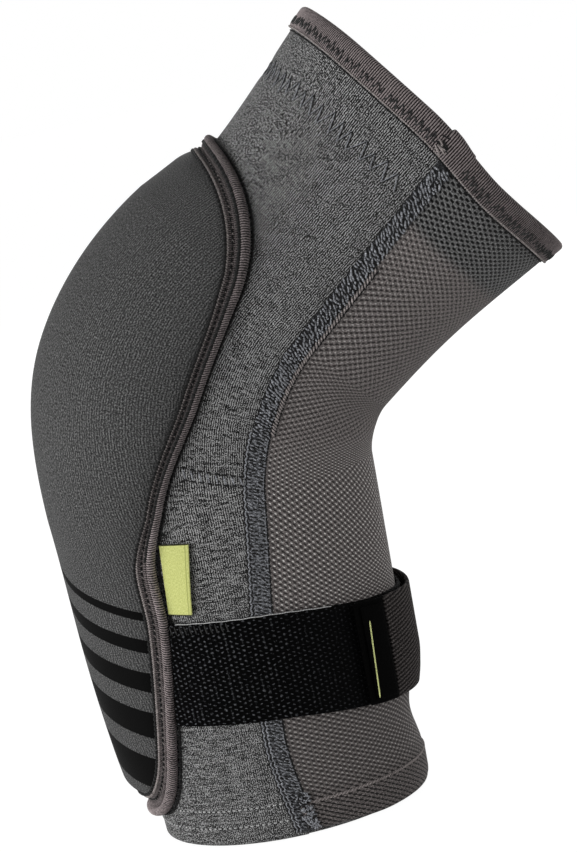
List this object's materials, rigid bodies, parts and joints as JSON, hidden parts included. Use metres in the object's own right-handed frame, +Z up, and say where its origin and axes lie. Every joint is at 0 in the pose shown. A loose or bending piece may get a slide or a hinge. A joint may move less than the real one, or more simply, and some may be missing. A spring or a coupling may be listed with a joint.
{
  "type": "elbow pad",
  "caption": "Pre-bent sleeve guard for the elbow: knit and mesh tube with a crowned, piped foam pad over the elbow, a bound cuff and a hook and loop forearm strap.",
  "frame": {"origin": "centre of the hem's lower edge, where the forearm goes in", "axes": "+Z up the forearm, +X to the crook of the arm, -Y the side with the label"},
  "size_m": [0.1738, 0.1033, 0.2431],
  "materials": {
    "knit": "heather grey jersey knit",
    "mesh": "brown-grey stretch mesh",
    "seam_thread": "dark blue-grey flatlock stitching",
    "trim": "ribbed brown-grey elastic tape",
    "silicone": "matt dark grip band",
    "foam": "open cell foam",
    "pad_cover": "charcoal fine knit with a black print",
    "label": "woven yellow-green ribbon",
    "loop_velour": "black brushed loop",
    "elastic": "black twill elastic",
    "hook": "black moulded hooks",
    "tab_label": "smooth black woven patch"
  },
  "bodies": {
    "forearm_sleeve": {"lower_knit_panel": "knit", "mesh_panel": "mesh", "near_flatlock_seam": "seam_thread", "far_flatlock_seam": "seam_thread", "near_cross_seam": "seam_thread", "far_cross_seam": "seam_thread", "hem_facing": "knit", "pad_foam": "foam", "pad_cover": "pad_cover", "pad_binding": "trim", "pad_piping": "trim", "strap_loop_band": "loop_velour"},
    "upper_sleeve": {"upper_knit_panel": "knit", "cuff_binding": "trim", "cuff_binding_join": "trim", "cuff_gripper": "silicone"},
    "strap_band": {"strap_elastic_band": "elastic"},
    "pull_tab": {"strap_tab": "elastic", "hook_patch": "hook", "tab_label": "tab_label"},
    "label_flap": {"side_label": "label"}
  },
  "joints": [
    {"name": "elbow_flex", "type": "hinge", "parent": "forearm_sleeve", "child": "upper_sleeve", "pos_m": [0, 0, 0.137], "axis": [0, 1, 0], "range_deg": [-45, 60], "stiffness_Nm_per_rad": 2, "deforming": ["lower_knit_panel", "upper_knit_panel", "mesh_panel", "near_flatlock_seam", "far_flatlock_seam", "near_cross_seam", "far_cross_seam", "pad_foam", "pad_cover", "pad_binding", "pad_piping"]},
    {"name": "strap_open", "type": "hinge", "parent": "forearm_sleeve", "child": "strap_band", "pos_m": [-0.02638, 0.03464, 0.056], "axis": [0.1511, 0.1466, 0.9776], "range_deg": [0, 70]},
    {"name": "tab_peel", "type": "hinge", "parent": "strap_band", "child": "pull_tab", "pos_m": [0.03973, -0.02575, 0.05097], "axis": [0.0311, -0.0218, 0.9993], "range_deg": [0, 75]},
    {"name": "label_lift", "type": "hinge", "parent": "forearm_sleeve", "child": "label_flap", "pos_m": [-0.02249, -0.03756, 0.08505], "axis": [-0.0831, 0.0866, -0.9928], "range_deg": [0, 90], "stiffness_Nm_per_rad": 0.001}
  ]
}
